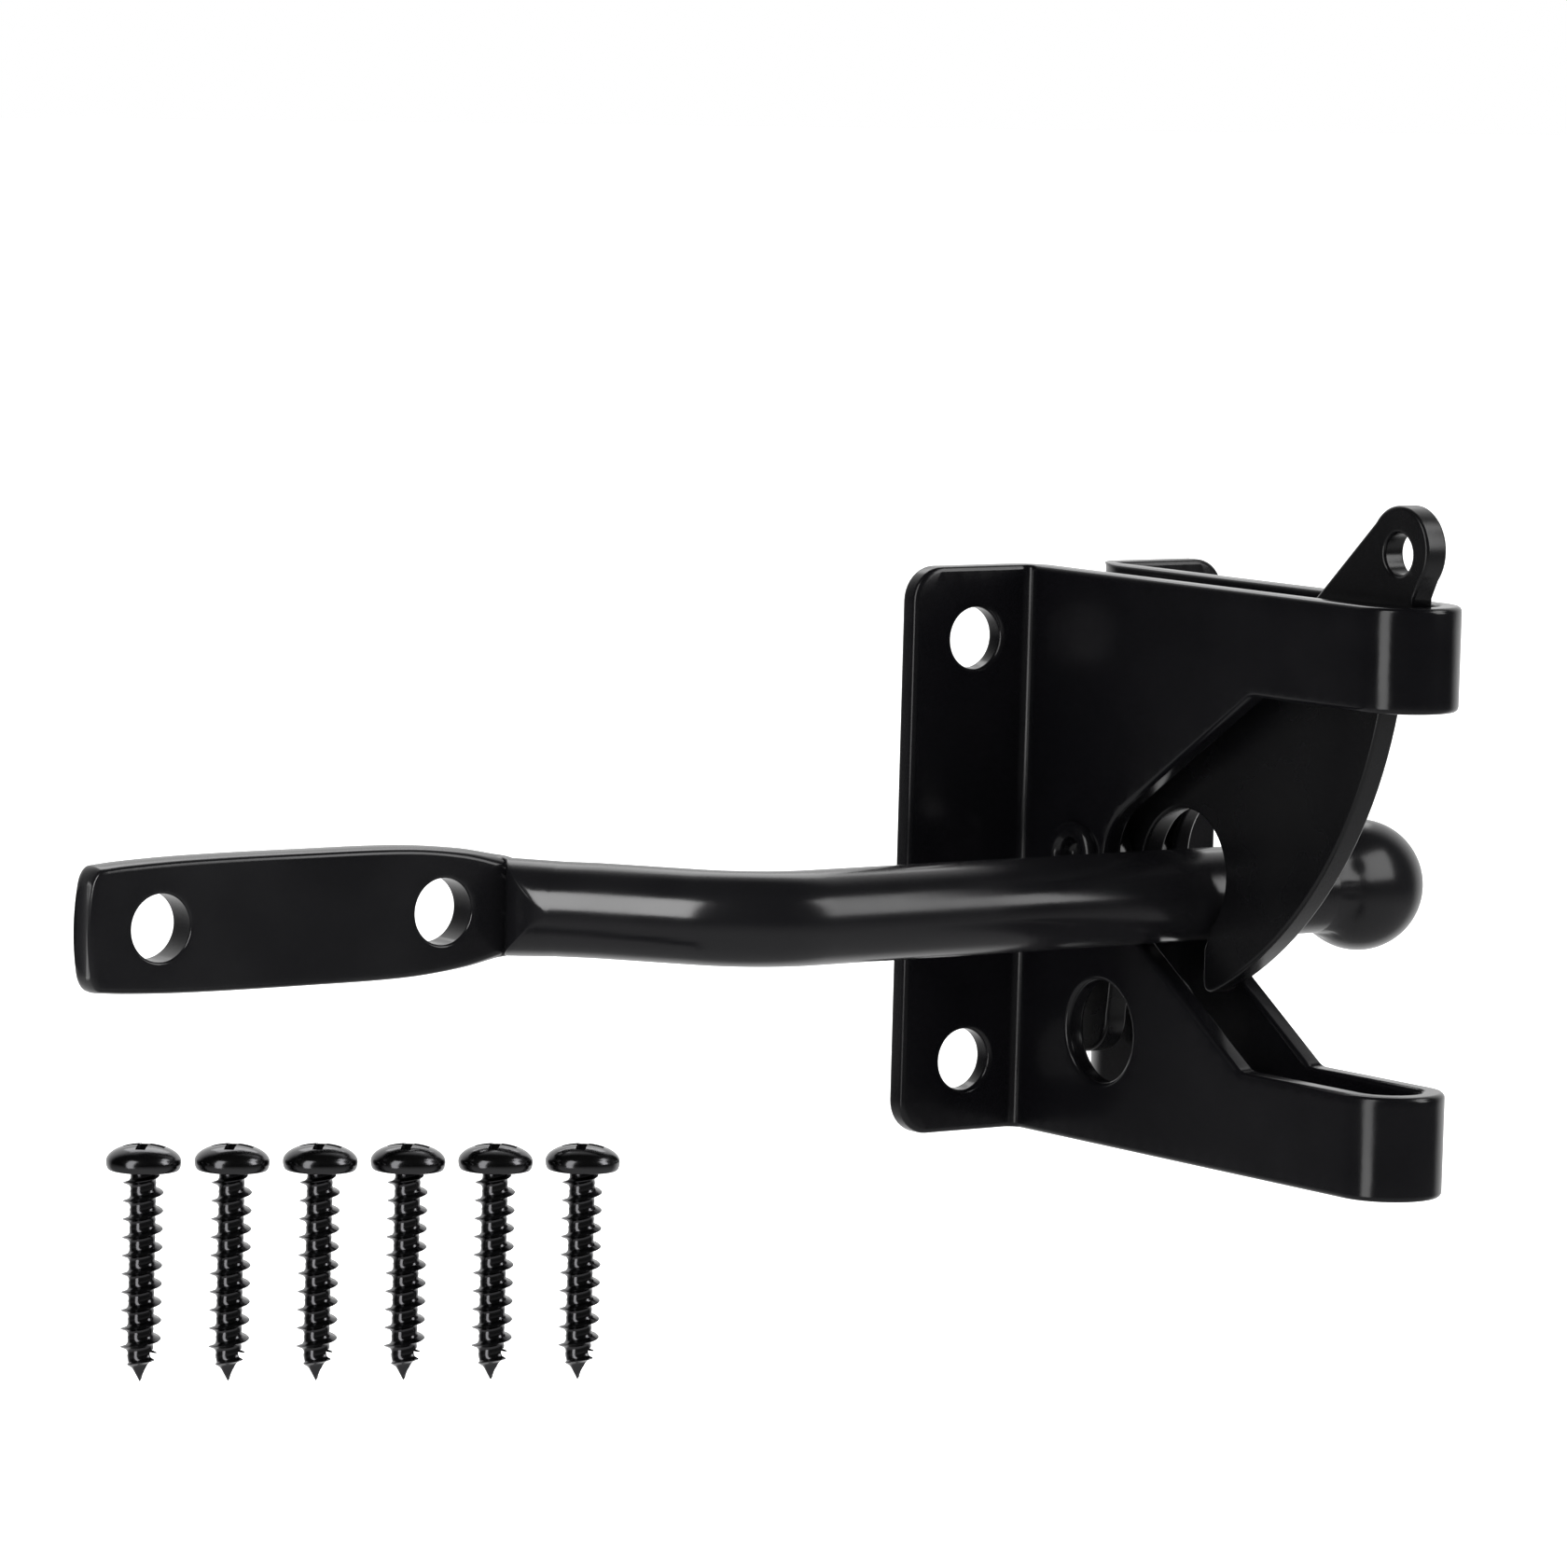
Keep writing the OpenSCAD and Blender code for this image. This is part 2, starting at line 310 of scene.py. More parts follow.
def lathe(name, profile, axis, centre, steps=96, warp=None):
    """A profile of (radius, distance along the axis) points turned about an axis through centre."""
    bm = bmesh.new()
    axis = Vector(axis)
    side = axis.orthogonal().normalized()
    other = axis.cross(side)
    rings = []
    for r, h in profile:
        ring = []
        for k in range(steps):
            a = 2 * math.pi * k / steps
            out = side * math.cos(a) + other * math.sin(a)
            p = Vector(centre) + out * r + axis * h
            if warp:
                p = warp(p, out, r, h)
            ring.append(bm.verts.new(p))
        rings.append(ring)
    for lower, upper in zip(rings, rings[1:]):
        for i in range(steps):
            j = (i + 1) % steps
            bm.faces.new((lower[i], lower[j], upper[j], upper[i]))
    if profile[0] != profile[-1]:
        for ring, end in ((rings[0], profile[0]), (rings[-1], profile[-1])):
            if end[0] > 0.01:
                bm.faces.new(ring)
    return finish_mesh(name, bm)


# ---------------------------------------------------------------- materials

def coat(name, dark, light, rough, peel, peel_size):
    """Black coat on steel: slightly uneven colour and gloss, over the faint ripple of a sprayed film."""
    material = bpy.data.materials.new(name)
    material.use_nodes = True
    nodes = material.node_tree.nodes
    links = material.node_tree.links
    shader = nodes["Principled BSDF"]
    place = nodes.new("ShaderNodeTexCoord")

    patches = nodes.new("ShaderNodeTexNoise")
    patches.inputs["Scale"].default_value = 70
    patches.inputs["Detail"].default_value = 4
    links.new(place.outputs["Object"], patches.inputs["Vector"])
    colour = nodes.new("ShaderNodeMix")
    colour.data_type = "RGBA"
    colour.inputs["A"].default_value = (*dark, 1)
    colour.inputs["B"].default_value = (*light, 1)
    links.new(patches.outputs["Fac"], colour.inputs["Factor"])
    links.new(colour.outputs["Result"], shader.inputs["Base Color"])

    gloss = nodes.new("ShaderNodeMapRange")
    gloss.inputs["From Min"].default_value = 0.3
    gloss.inputs["From Max"].default_value = 0.7
    gloss.inputs["To Min"].default_value = rough - 0.04
    gloss.inputs["To Max"].default_value = rough + 0.05
    links.new(patches.outputs["Fac"], gloss.inputs["Value"])
    links.new(gloss.outputs["Result"], shader.inputs["Roughness"])

    ripple = nodes.new("ShaderNodeTexNoise")
    ripple.inputs["Scale"].default_value = 1 / (peel_size * MM)
    ripple.inputs["Detail"].default_value = 3
    links.new(place.outputs["Object"], ripple.inputs["Vector"])
    bump = nodes.new("ShaderNodeBump")
    bump.inputs["Strength"].default_value = peel
    bump.inputs["Distance"].default_value = 0.05 * MM
    links.new(ripple.outputs["Fac"], bump.inputs["Height"])
    links.new(bump.outputs["Normal"], shader.inputs["Normal"])
    shader.inputs["IOR"].default_value = 1.5
    return material


def dress(obj, body, node, material):
    """Gives a piece its material, hangs it on the empty of the body it rides on, and hides the CAD node it
    stands in for.
    """
    obj.data.materials.clear()
    obj.data.materials.append(material)
    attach(obj, body)
    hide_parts(node)


# ---------------------------------------------------------------- housing

nose_quarter = wall_mid * math.pi / 2
wall_run = nose_f - plate_t - fold_in
fold_run = fold_mid * math.pi / 2
flange_run = body_high.x - wall_out - fold_in
sheet_half = nose_quarter + wall_run + fold_run + flange_run


def on_wall(f):
    """Distance along the unfolded sheet, from the nose's tip, of a reach on the wall."""
    return nose_quarter + nose_f - f


def fold_sheet(s, z, t):
    """A point of the unfolded sheet laid in the housing: s along it from the nose's tip, z up, and
    t from its middle towards its front face. Its back follows a wider arc round the fold."""
    x, y, z = bend_sheet(s, z, t)
    side = 1 if x >= 0 else -1
    centre = Vector((wall_out - plate_t + fold_back, -fold_back))
    at = Vector((abs(x), y))
    from_centre = at - centre
    if at.x < centre.x and at.y > centre.y and from_centre.length > fold_back:
        on_arc = centre + from_centre.normalized() * fold_back
        at = at.lerp(on_arc, 0.5 - t / plate_t)
    return (side * at.x, at.y, z)


def bend_sheet(s, z, t):
    """The same point where the sheet keeps its full thickness all round the fold."""
    side = 1 if s >= 0 else -1
    s = abs(s)
    if s < nose_quarter:
        a = s / wall_mid
        r = wall_mid + t
        return (side * r * math.sin(a), -nose_f - r * math.cos(a), z)
    s -= nose_quarter
    if s < wall_run:
        return (side * (wall_mid + t), -nose_f + s, z)
    s -= wall_run
    fold_x = wall_out + fold_in
    fold_y = -plate_t - fold_in
    if s < fold_run:
        b = s / fold_mid
        r = fold_mid - t
        return (side * (fold_x - r * math.cos(b)), fold_y + r * math.sin(b), z)
    return (side * (fold_x + s - fold_run), -plate_t / 2 - t, z)


def notch_loop():
    """Outline of the notch in the unfolded sheet: one opening that runs over the nose into both walls."""
    corner_s = on_wall(notch_corner)
    slope_a = math.atan(notch_slope)
    apex = notch_corner - notch_h / notch_slope
    root_r = (notch_root - apex) / (1 / math.sin(slope_a) - 1)
    root_s = on_wall(notch_root + root_r)
    tip_s = on_wall(apex)
    open_deg = 90 - math.degrees(slope_a)
    far = round_corner((0, -notch_h), (corner_s, -notch_h), (tip_s, 0), notch_corner_r)
    far += arc(root_s, 0, root_r, -open_deg, open_deg, 24)
    far += round_corner((tip_s, 0), (corner_s, notch_h), (0, notch_h), notch_corner_r)
    near = [(-s, -z) for s, z in far]
    return far + near


def latch_body():
    """The folded plate, with rounded cut edges along its outline, notch and holes."""
    cx = sheet_half - flange_r
    cz = half_h - flange_r
    outer = arc(cx, cz, flange_r, 0, 90, 10) + arc(-cx, cz, flange_r, 90, 180, 10)
    outer += arc(-cx, -cz, flange_r, 180, 270, 10) + arc(cx, -cz, flange_r, 270, 360, 10)
    outer = densify(outer, outline_step)

    x, z, r = flange_hole
    flange_s = sheet_half - (body_high.x - x)
    padlock_f, padlock_z, padlock_r = padlock_hole
    circles = [(flange_s, z, r, 48), (flange_s, -z, r, 48),
               (on_wall(padlock_f), padlock_z, padlock_r, 72), (on_wall(pivot_f), 0, pivot_r, 36)]
    holes = [densify(notch_loop(), outline_step)]
    for side in (-1, 1):
        holes += [arc(side * s, z, r, 0, 360, steps)[:-1] for s, z, r, steps in circles]

    fine, coarse, row_count = 0.45, 3.0, 26
    back_run = fold_back - plate_t - fold_in + 0.3
    fold_start = nose_quarter + wall_run - back_run
    fold_stop = sheet_half - flange_run + back_run
    stretches = [(0, nose_quarter, fine), (nose_quarter, fold_start, coarse),
                 (fold_start, fold_stop, fine), (fold_stop, sheet_half, coarse)]
    columns = np.concatenate([np.linspace(a, b, math.ceil((b - a) / step) + 1) for a, b, step in stretches])
    columns = np.unique(np.round(np.concatenate([-columns, columns]), 6))
    rows = np.linspace(-half_h, half_h, row_count)
    lattice = np.array([(s, z) for s in columns for z in rows])
    return plate("latch_body_plate", outer, holes, plate_t, plate_edge, fold_sheet, lattice)


# ---------------------------------------------------------------- pawl

def node_outlines(node, x):
    """Outlines of a CAD node's flat face in the plane of a given X, as loops of (reach, height)."""
    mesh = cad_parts[node].data
    corner = {}
    for v in mesh.vertices:
        corner[v.index] = tuple(round(c / MM, 4) for c in v.co)
    used = {}
    for face in mesh.polygons:
        spots = [corner[i] for i in face.vertices]
        if all(abs(p[0] - x) < 0.001 for p in spots):
            for here, there in zip(spots, spots[1:] + spots[:1]):
                used[(here, there)] = used.get((here, there), 0) + 1
    follow = {here: there for here, there in used if (there, here) not in used}
    loops = []
    while follow:
        start = next(iter(follow))
        loop = [start]
        there = follow.pop(start)
        while there != start:
            loop.append(there)
            there = follow.pop(there)
        loops.append([(-p[1], p[2]) for p in loop])
    return sorted(loops, key=len, reverse=True)


def pawl_plate():
    """The pawl, cut to the CAD pawl's own outline and given rounded rims."""
    def place(f, z, t):
        return (-t, -f, z)

    outer, *holes = node_outlines("pawl", pawl_high.x)
    return plate("pawl_plate", blunt(outer, tip_reach), holes, pawl_t, pawl_edge, place)


# ---------------------------------------------------------------- rivet and spacers

def rivet():
    """Tubular rivet: the near end is rolled over into a ring, the far end is a low dome."""
    ring_r, ring_s = 3.45, 1.15
    ring_x = -wall_out - 0.2
    ring_start, ring_turn, ring_steps = 175, 185, 20
    gap = 0.02
    dome_r, dome_rim_r, dome_steps = 8.0, 4.95, 12
    dome_c = wall_out - 6.2
    hollow = [(0, -6.0), (1.5, -6.05), (1.95, -6.3), (2.25, -6.9)]
    profile = list(hollow)
    for k in range(ring_steps + 1):
        a = math.radians(ring_start - ring_turn * k / ring_steps)
        profile.append((ring_r + ring_s * math.cos(a), ring_x - ring_s * math.sin(a)))
    profile += [(pivot_r - gap, -wall_out + gap), (pivot_r - gap, wall_out - gap), (dome_rim_r, wall_out)]
    rim = math.asin(dome_rim_r / dome_r)
    for k in range(dome_steps + 1):
        a = rim * (1 - k / dome_steps)
        profile.append((dome_r * math.sin(a), dome_c + dome_r * math.cos(a)))
    return lathe("pivot_rivet_turned", profile, (1, 0, 0), (0, -pivot_f, 0))


def spacer(name, node):
    """A plain washer with rounded rims."""
    low, high = node_box(node)
    r_in, r_out, edge = pivot_r + 0.05, (high.y - low.y) / 2, 0.3
    corners = ((low.x + edge, r_out - edge, 270), (high.x - edge, r_out - edge, 0),
               (high.x - edge, r_in + edge, 90), (low.x + edge, r_in + edge, 180))
    profile = []
    for corner_x, corner_r, start in corners:
        for k in range(5):
            a = math.radians(start + 22.5 * k)
            profile.append((corner_r + edge * math.cos(a), corner_x + edge * math.sin(a)))
    profile.append(profile[0])
    return lathe(name, profile, (1, 0, 0), (0, -pivot_f, 0), steps=72)


# ---------------------------------------------------------------- striker bar

def bar_section(front, rear, centre, a, h, front_c=0.55, rear_c=0.8):
    """An ellipse cut by a front and a rear plane, with its corners rounded, as (p, q) points.
    p runs from front to rear and q upwards. Every section has the same number of points."""
    flats, sides, corners = 10, 26, 4
    most_c, least_rate = 0.45, 0.5

    def corner_angle(p):
        return math.acos(max(-1.0, min(1.0, (p - centre) / a)))

    def on_ellipse(angle):
        return Vector((centre + a * math.cos(angle), h * math.sin(angle)))

    def rounded(angle, c, turn):
        w = h * math.sin(angle)
        c = min(c, most_c * w)
        rate = max(least_rate, math.hypot(a * math.sin(angle), h * math.cos(angle)))
        corner = on_ellipse(angle)
        return corner - Vector((0, c)), corner, angle + turn * c / rate

    top_front, front_corner, side_start = rounded(corner_angle(front), front_c, -1)
    top_rear, rear_corner, side_stop = rounded(corner_angle(rear), rear_c, 1)
    upper = [Vector((top_front.x, top_front.y * k / flats)) for k in range(flats + 1)]
    side_first, side_last = on_ellipse(side_start), on_ellipse(side_stop)
    upper += [bend(top_front, front_corner, side_first, k / corners) for k in range(1, corners)]
    for k in range(sides + 1):
        upper.append(on_ellipse(side_start + (side_stop - side_start) * k / sides))
    upper += [bend(side_last, rear_corner, top_rear, k / corners) for k in range(1, corners)]
    upper += [Vector((top_rear.x, top_rear.y * (1 - k / flats))) for k in range(flats + 1)]
    lower = [Vector((p.x, -p.y)) for p in upper[-2:0:-1]]
    return upper + lower


def smooth_curve(knots, u):
    """Height at u of the smooth curve through a few (u, height) knots."""
    us = [k[0] for k in knots]
    vs = [k[1] for k in knots]
    u = max(us[0], min(us[-1], u))
    i = max(0, min(len(us) - 2, int(np.searchsorted(us, u, side="right")) - 1))
    rates = []
    for j in (i, i + 1):
        before, after = max(0, j - 1), min(len(us) - 1, j + 1)
        rates.append((vs[after] - vs[before]) / (us[after] - us[before]))
    width = us[i + 1] - us[i]
    t = (u - us[i]) / width
    return ((2 * t**3 - 3 * t**2 + 1) * vs[i] + (t**3 - 2 * t**2 + t) * width * rates[0]
            + (3 * t**2 - 2 * t**3) * vs[i + 1] + (t**3 - t**2) * width * rates[1])


def bar_stations():
    """Sections of the striker bar from its flat end to the ball, each with its place and direction."""
    half_t = flat_t / 2
    flat_l, neck_a, neck_h, fold_h = 60.6, 4.6, 6.6, 6.2
    crease_in, crease_up = 0.1, 0.05
    crease = Vector((flat_in_x + crease_in, -flat_t))
    height = [(0, 7.7), (5, 8.1), (15, 8.45), (32, 8.5), (46, 8.35), (55, 7.6), (flat_l, neck_h)]
    fullness = [(0, 8.2), (46, 8.2), (flat_l, neck_a)]
    bulge = 0.4
    end_x, end_p, end_q, end_steps = 1.1, 0.6, 2.0, 6
    bow_l = 12
    uncut = 9
    stations = []

    # The flat, from its rounded end
    def flat(u, squeeze):
        a, h = smooth_curve(fullness, u), smooth_curve(height, u)
        points = bar_section(-half_t, half_t, bulge, a, h)
        p_scale = 1 - squeeze * end_p / half_t
        q_scale = 1 - squeeze * end_q / h
        points = [Vector((p.x * p_scale, p.y * q_scale)) for p in points]
        bow = max(0.0, 1 - u / bow_l) ** 2
        stations.append((Vector((flat_end_x + u, -half_t)), Vector((0, 1)), flat_z, points, bow))

    for k in range(end_steps + 1):
        a = math.pi / 2 * k / end_steps
        flat(end_x * (1 - math.cos(a)), 1 - math.sin(a))
    for u in np.linspace(end_x, flat_l, 70)[1:-1]:
        flat(float(u), 0.0)

    # The fold at the crease, where the sections fan round one point of the front face
    fan_steps = 10
    for k in range(fan_steps + 1):
        mix = k / fan_steps
        turn = diag_a * mix
        across = Vector((math.sin(turn), math.cos(turn)))
        front = crease_in * across.x - half_t * across.y
        rear = front + flat_t / math.cos(turn)
        a = neck_a + (bar_r - neck_a) * mix
        h = neck_h + (fold_h - neck_h) * mix
        points = bar_section(front, rear, bulge * (1 - mix), a, h)
        stations.append((crease - across * front, across, flat_z + crease_up * mix, points, 0.0))

    # The slanted stretch, where the forged facet on the front runs out into the round bar
    along = Vector((math.cos(diag_a), -math.sin(diag_a)))
    across = Vector((math.sin(diag_a), math.cos(diag_a)))
    start = Vector((flat_in_x, -half_t))
    corner = start + along * ((bar_f - half_t) / math.sin(diag_a))
    crease_t = (crease - start).dot(along)
    crease_p = -(crease - start).dot(across)
    crease_z = flat_z + crease_up
    facet_l, rise_l = 7.2, 12
    cut = bend_r * math.tan(diag_a / 2)
    diag_l = (corner - start).length - cut
    diag = list(np.linspace(crease_t, crease_t + facet_l + 1.5, 24)[1:])
    diag += list(np.linspace(diag[-1], diag_l, 12)[1:])
    for t in diag:
        mix = min(1.0, (t - crease_t) / facet_l)
        front = -bar_r * math.sqrt(1 - (1 - (crease_p / bar_r) ** 2) * (1 - mix) ** 2)
        h = fold_h + (bar_r - fold_h) * mix
        z = crease_z + (bar_z - crease_z) * min(1.0, (t - crease_t) / rise_l)
        points = bar_section(front if mix < 1 else -uncut, uncut, 0, bar_r, h)
        stations.append((start + along * t, across, z, points, 0.0))

    # The bend, and the round stretch through the housing to the ball
    circle = bar_section(-uncut, uncut, 0, bar_r, bar_r)
    bend_steps = 24
    centre = corner - along * cut + across * bend_r
    for k in range(1, bend_steps + 1):
        turn = -diag_a * (1 - k / bend_steps)
        across = Vector((-math.sin(turn), math.cos(turn)))
        stations.append((centre - across * bend_r, across, bar_z, circle, 0.0))
    for x in np.linspace(corner.x + cut, ball_x - ball_seat + 1, 30)[1:]:
        stations.append((Vector((x, -bar_f)), Vector((0, 1)), bar_z, circle, 0.0))
    return stations


def striker_bar():
    """The bar lofted from its sections, with two holes drilled through the flat end."""
    end_bow, bow_h = 1.0, 8
    bm = bmesh.new()
    rings = []
    for origin, across, z, points, bow in bar_stations():
        ring = []
        for p in points:
            at = origin + across * p.x
            ring.append(bm.verts.new((at.x + end_bow * bow * (p.y / bow_h) ** 2, at.y, z + p.y)))
        rings.append(ring)
    n = len(rings[0])
    for lower, upper in zip(rings, rings[1:]):
        for i in range(n):
            j = (i + 1) % n
            bm.faces.new((lower[i], lower[j], upper[j], upper[i]))
    bm.faces.new(rings[0])
    bm.faces.new(rings[-1])
    bar = finish_mesh("striker_bar_forged", bm)
    first, gap, r = flat_hole
    rim, past = 0.35, 2
    mouth = r + rim
    quarter = np.linspace(0, math.pi / 2, 5)
    profile = [(mouth, -past)]
    profile += [(mouth - rim * math.sin(a), rim - rim * math.cos(a)) for a in quarter]
    profile += [(mouth - rim * math.cos(a), flat_t - rim + rim * math.sin(a)) for a in quarter]
    profile += [(mouth, flat_t + past)]
    for x in (flat_end_x + first, flat_end_x + first + gap):
        drill = lathe("drill", profile, (0, 1, 0), (x, -flat_t, flat_z), steps=64)
        apply_boolean(bar, drill, "DIFFERENCE")
    bar.data.shade_smooth()
    bar.data.set_sharp_from_angle(angle=math.radians(38))
    even_normals(bar)
    return bar


def striker_ball():
    """The ball, with the slightly lumpy weld that fills the corner at its neck."""
    weld_l, weld_steps, ball_steps = 1.9, 10, 40
    lump_h = 0.25
    foot = Vector((bar_r - 0.05, -ball_seat - weld_l))
    corner = Vector((bar_r + 0.1, -ball_seat - 0.2))
    head_x = -ball_seat + 1.1
    head = Vector((math.sqrt(ball_r**2 - head_x**2), head_x))

    def lumpy(p, out, r, h):
        on_weld = max(0.0, 1 - abs(h + ball_seat) / weld_l)
        lump = noise.noise(out * 3.1 + Vector((h * 0.4, 0, 0))) + 0.5 * noise.noise(out * 9)
        return p + out * lump_h * lump * on_weld

    profile = [(bar_r - 0.4, foot.y)]
    profile += [tuple(bend(foot, corner, head, k / weld_steps)) for k in range(weld_steps + 1)]
    start = math.acos(head_x / ball_r)
    for k in range(1, ball_steps + 1):
        a = start * (1 - k / ball_steps)
        profile.append((ball_r * math.sin(a), ball_r * math.cos(a)))
    return lathe("striker_ball_welded", profile, (1, 0, 0), (ball_x, -bar_f, bar_z), warp=lumpy)


# ---------------------------------------------------------------- screws

def screw_shaft():
    """Core and helical thread in one surface, whose rows follow the helix. thread is the outline of
    one turn, as (place along the pitch, lift from core to crest)."""
    thread = [(0.0, 0.06), (0.12, 0.0), (0.24, 0.05), (0.34, 0.24), (0.43, 0.9), (0.47, 1.0), (0.51, 0.9),
              (0.60, 0.24), (0.72, 0.05), (0.86, 0.02)]
    around, cone_l, bare_l, fade_l = 48, 3.6, 0.8, 1.2
    point_r, row_gap = 0.02, 0.004
    low, high = -screw_l, 0.6
    turns = math.ceil((high - low) / pitch) + 1
    rows = [(turn + at, lift) for turn in range(-1, turns) for at, lift in thread]
    bm = bmesh.new()
    grid = []
    for at, lift in rows:
        row = []
        for k in range(around):
            z = max(low, min(high, low + pitch * (at + k / around)))
            core = core_r * min(1.0, point_r + (z - low) / (cone_l - bare_l))
            grow = min(1.0, (z - low - bare_l) / (cone_l - bare_l), -z / fade_l)
            r = core + (thread_r - core_r) * lift * max(0.0, grow)
            a = 2 * math.pi * k / around
            row.append(bm.verts.new((r * math.cos(a), r * math.sin(a), z)))
        grid.append(row)
    per_turn = len(thread)
    for i in range(len(grid) - 1):
        for k in range(around):
            if k < around - 1:
                right = (grid[i][k + 1], grid[i + 1][k + 1])
            elif i + 1 + per_turn < len(grid):
                right = (grid[i + per_turn][0], grid[i + 1 + per_turn][0])
            else:
                continue
            bm.faces.new((grid[i][k], right[0], right[1], grid[i + 1][k]))
    bmesh.ops.remove_doubles(bm, verts=bm.verts, dist=row_gap)
    bmesh.ops.holes_fill(bm, edges=[e for e in bm.edges if e.is_boundary], sides=0)
    return finish_mesh("screw_shaft", bm, 50)


def cross_blade(turn):
    """One tapered blade of the cutter for the cross recess. Its ends are (height, half length, width)."""
    foot, top = (head_h - 2.1, 1.0, 0.75), (head_h + 0.6, 3.5, 1.45)
    bm = bmesh.new()
    corners = []
    for z, length, width in (foot, top):
        half_w = width / 2
        for x, y in ((-length, -half_w), (length, -half_w), (length, half_w), (-length, half_w)):
            corners.append(bm.verts.new((x, y, z)))
    bm.faces.new(corners[:4])
    bm.faces.new(corners[4:])
    for i in range(4):
        j = (i + 1) % 4
        bm.faces.new((corners[i], corners[j], corners[4 + j], corners[4 + i]))
    bmesh.ops.rotate(bm, verts=bm.verts, cent=(0, 0, 0), matrix=Matrix.Rotation(turn, 3, "Z"))
    return finish_mesh("blade", bm)


def tip_cut():
    """The cutter for the slot across a self-tapping point."""
    size, place, turn = (2.4, 2.4, 3.6), (1.35, 0.9, -screw_l + 2.2), math.radians(-62)
    bm = bmesh.new()
    bmesh.ops.create_cube(bm, size=1)
    bmesh.ops.scale(bm, vec=size, verts=bm.verts)
    bmesh.ops.translate(bm, vec=place, verts=bm.verts)
    bmesh.ops.rotate(bm, verts=bm.verts, cent=(0, 0, 0), matrix=Matrix.Rotation(turn, 3, "Z"))
    return finish_mesh("tip_cut", bm)


def screw_mesh():
    """One pan-head screw standing on its tip, with its head's underside at z = 0."""
    widest_z, lower_w = 1.05, 0.42
    recess_deg = 48
    profile = [(0, 0)]
    profile += [(head_r - lower_w + lower_w * math.sin(a), widest_z * (1 - math.cos(a)))
                for a in np.linspace(0, math.pi / 2, 7)]
    profile += [(head_r * math.cos(a), widest_z + (head_h - widest_z) * math.sin(a))
                for a in np.linspace(0, math.pi / 2, 16)[1:]]
    head = lathe("screw", profile, (0, 0, 1), (0, 0, 0), steps=72)
    apply_boolean(head, screw_shaft(), "UNION")
    for turn in (recess_deg, recess_deg + 90):
        apply_boolean(head, cross_blade(math.radians(turn)), "DIFFERENCE")
    apply_boolean(head, tip_cut(), "DIFFERENCE")
    head.data.shade_smooth()
    head.data.set_sharp_from_angle(angle=math.radians(40))
    mesh = head.data
    bpy.data.objects.remove(head)
    return mesh


def screws(material):
    """Six screws side by side: two for the striker and four for the flanges."""
    mesh = screw_mesh()
    mesh.materials.clear()
    mesh.materials.append(material)
    x, y, z = screw_first
    for i in range(6):
        node = "striker_screws" if i < 2 else "latch_screws"
        step = i * screw_gap
        place = Vector((x + step * math.cos(screw_row_a), y + step * math.sin(screw_row_a), z))
        obj = bpy.data.objects.new(f"{node[:-1]}_{i + 1}", mesh)
        obj.location = place * MM
        bpy.context.scene.collection.objects.link(obj)
        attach(obj, "housing")
        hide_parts(node)


# ---------------------------------------------------------------- stage

light_distance = 1.1
light_aim = (-0.03, -0.03, 0)


def softbox(name, azimuth, elevation, width, height, radiance):
    """An area light that faces the object. Azimuth 0 is in front at -Y and 90 is at +X."""
    a, e = math.radians(azimuth), math.radians(elevation)
    way = Vector((math.sin(a) * math.cos(e), -math.cos(a) * math.cos(e), math.sin(e)))
    light = bpy.data.lights.new(name, "AREA")
    light.shape = "RECTANGLE"
    light.size = width
    light.size_y = height
    light.energy = radiance * math.pi * width * height
    obj = bpy.data.objects.new(name, light)
    obj.visible_camera = False
    obj.location = Vector(light_aim) + way * light_distance
    obj.rotation_euler = way.to_track_quat("Z", "Y").to_euler()
    bpy.context.scene.collection.objects.link(obj)
    return obj


def link_light(light, pieces, state):
    """Lets a light reach only these pieces (INCLUDE), or all pieces but these (EXCLUDE)."""
    group = bpy.data.collections.new(light.name + "_pieces")
    for piece in pieces:
        group.objects.link(piece)
    for member in group.collection_objects:
        member.light_linking.link_state = state
    light.light_linking.receiver_collection = group


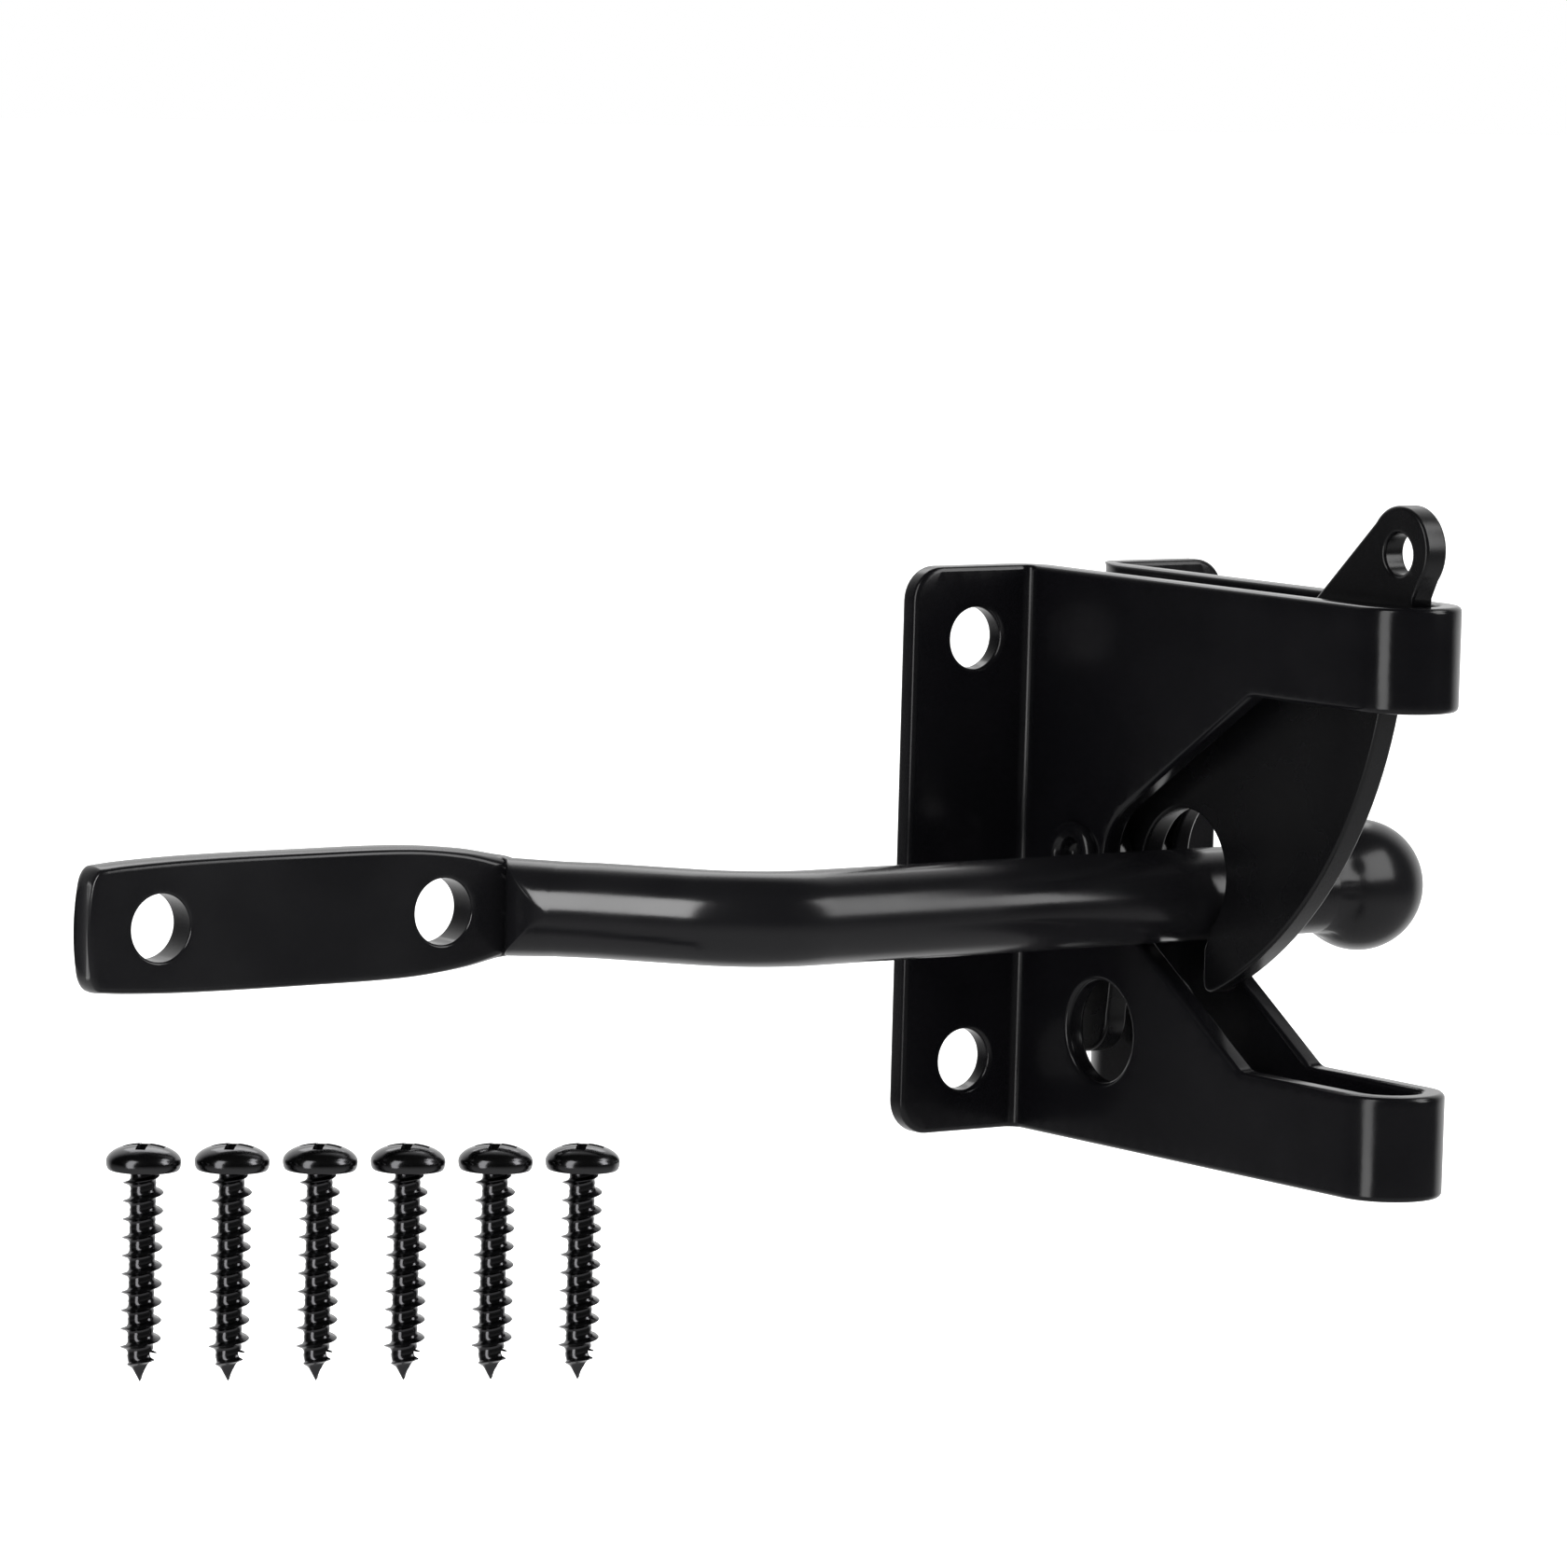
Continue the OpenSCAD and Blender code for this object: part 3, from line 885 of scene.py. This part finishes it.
def stage():
    """Pale floor under white light. Glossy rays see dark surroundings and the softboxes instead."""
    floor_gap, floor_half = 0.00005, 6
    bm = bmesh.new()
    bmesh.ops.create_grid(bm, x_segments=1, y_segments=1, size=floor_half)
    mesh = bpy.data.meshes.new("floor")
    bm.to_mesh(mesh)
    bm.free()
    floor = bpy.data.objects.new("floor", mesh)
    floor.location = (0, 0, cad_box[0].z - floor_gap)
    bpy.context.scene.collection.objects.link(floor)
    paper = bpy.data.materials.new("floor_paper")
    paper.use_nodes = True
    shader = paper.node_tree.nodes["Principled BSDF"]
    shader.inputs["Base Color"].default_value = (0.9, 0.9, 0.9, 1)
    shader.inputs["Roughness"].default_value = 0.9
    shader.inputs["Emission Color"].default_value = (1, 1, 1, 1)
    shader.inputs["Emission Strength"].default_value = 0.75
    mesh.materials.append(paper)
    floor.visible_glossy = False

    backdrop_way = (0.59, 0.81, 0)
    world = bpy.data.worlds.new("studio")
    bpy.context.scene.world = world
    world.use_nodes = True
    nodes, links = world.node_tree.nodes, world.node_tree.links
    direction = nodes.new("ShaderNodeTexCoord")
    split = nodes.new("ShaderNodeSeparateXYZ")
    links.new(direction.outputs["Generated"], split.inputs["Vector"])
    behind = nodes.new("ShaderNodeVectorMath")
    behind.operation = "DOT_PRODUCT"
    behind.inputs[1].default_value = backdrop_way
    links.new(direction.outputs["Generated"], behind.inputs[0])
    backdrop = nodes.new("ShaderNodeMapRange")
    backdrop.interpolation_type = "SMOOTHSTEP"
    backdrop.inputs["From Min"].default_value = 0.27
    backdrop.inputs["From Max"].default_value = 0.75
    backdrop.inputs["To Min"].default_value = 0.02
    links.new(behind.outputs["Value"], backdrop.inputs["Value"])
    ground = nodes.new("ShaderNodeMapRange")
    ground.inputs["From Min"].default_value = -0.05
    ground.inputs["From Max"].default_value = -0.45
    ground.inputs["To Max"].default_value = 0.36
    links.new(split.outputs["Z"], ground.inputs["Value"])
    gloss = nodes.new("ShaderNodeMath")
    gloss.operation = "MAXIMUM"
    links.new(backdrop.outputs["Result"], gloss.inputs[0])
    links.new(ground.outputs["Result"], gloss.inputs[1])
    path = nodes.new("ShaderNodeLightPath")
    shade = nodes.new("ShaderNodeMix")
    shade.inputs["A"].default_value = 1
    links.new(path.outputs["Is Glossy Ray"], shade.inputs["Factor"])
    links.new(gloss.outputs["Value"], shade.inputs["B"])
    links.new(shade.outputs["Result"], nodes["Background"].inputs["Strength"])
    nodes["Background"].inputs["Color"].default_value = (1, 1, 1, 1)

    bpy.context.scene.view_settings.view_transform = "Standard"


def camera():
    """The camera, from its place, its aim and its roll."""
    place = (-0.64344, -0.82077, 0.114955)
    azimuth, elevation, roll = math.radians(36.139), math.radians(5.926), math.radians(1.522)
    data = bpy.data.cameras.new("camera")
    data.sensor_fit = "HORIZONTAL"
    data.sensor_width = 36
    data.lens = 181.71
    data.clip_start = 0.01
    data.clip_end = 50
    obj = bpy.data.objects.new("camera", data)
    level = math.cos(elevation)
    ahead = Vector((math.sin(azimuth) * level, math.cos(azimuth) * level, -math.sin(elevation)))
    turn = (-ahead).to_track_quat("Z", "Y").to_matrix() @ Matrix.Rotation(roll, 3, "Z")
    obj.matrix_world = Matrix.Translation(place) @ turn.to_4x4()
    bpy.context.scene.collection.objects.link(obj)
    bpy.context.scene.camera = obj


# ---------------------------------------------------------------- the scene

camera()
stage()

black = coat("satin_black_coat", (0.0016, 0.0016, 0.0021), (0.0036, 0.0035, 0.0044), 0.20, 0.2, 0.9)
pawl_black = coat("pawl_black_coat", (0.0014, 0.0014, 0.0018), (0.003, 0.003, 0.0035), 0.26, 0.2, 0.9)
bar_black = coat("bar_black_coat", (0.0034, 0.0034, 0.004), (0.0062, 0.0062, 0.007), 0.20, 0.15, 1.1)
zinc = coat("black_zinc", (0.05, 0.05, 0.052), (0.13, 0.13, 0.135), 0.16, 0.15, 0.5)
zinc.node_tree.nodes["Principled BSDF"].inputs["Metallic"].default_value = 1

dress(latch_body(), "housing", "latch_body", black)
dress(pawl_plate(), "pawl", "pawl", pawl_black)
dress(rivet(), "housing", "pivot_rivet", black)
dress(spacer("spacer_near_washer", "spacer_near"), "housing", "spacer_near", black)
dress(spacer("spacer_far_washer", "spacer_far"), "housing", "spacer_far", black)
bar = striker_bar()
dress(bar, "striker", "striker_bar", bar_black)
ball = striker_ball()
dress(ball, "striker", "striker_ball", bar_black)
screws(zinc)

# The ball and the bar have softboxes of their own, so that their highlights lie apart from the plate's
link_light(softbox("key", 38, 25, 0.38, 0.70, 3.8), [ball], "EXCLUDE")
link_light(softbox("key_top", 58, 46, 0.34, 0.34, 3.2), [ball, bar], "EXCLUDE")
link_light(softbox("front", 6, 37, 1.05, 0.95, 3.0), [ball], "INCLUDE")
link_light(softbox("side", -76, 14, 0.42, 1.5, 2.9), [bar], "EXCLUDE")
softbox("rear", 150, 42, 0.7, 0.45, 1.6)
link_light(softbox("side_bar", -76, 23, 0.40, 0.75, 8.0), [bar], "INCLUDE")
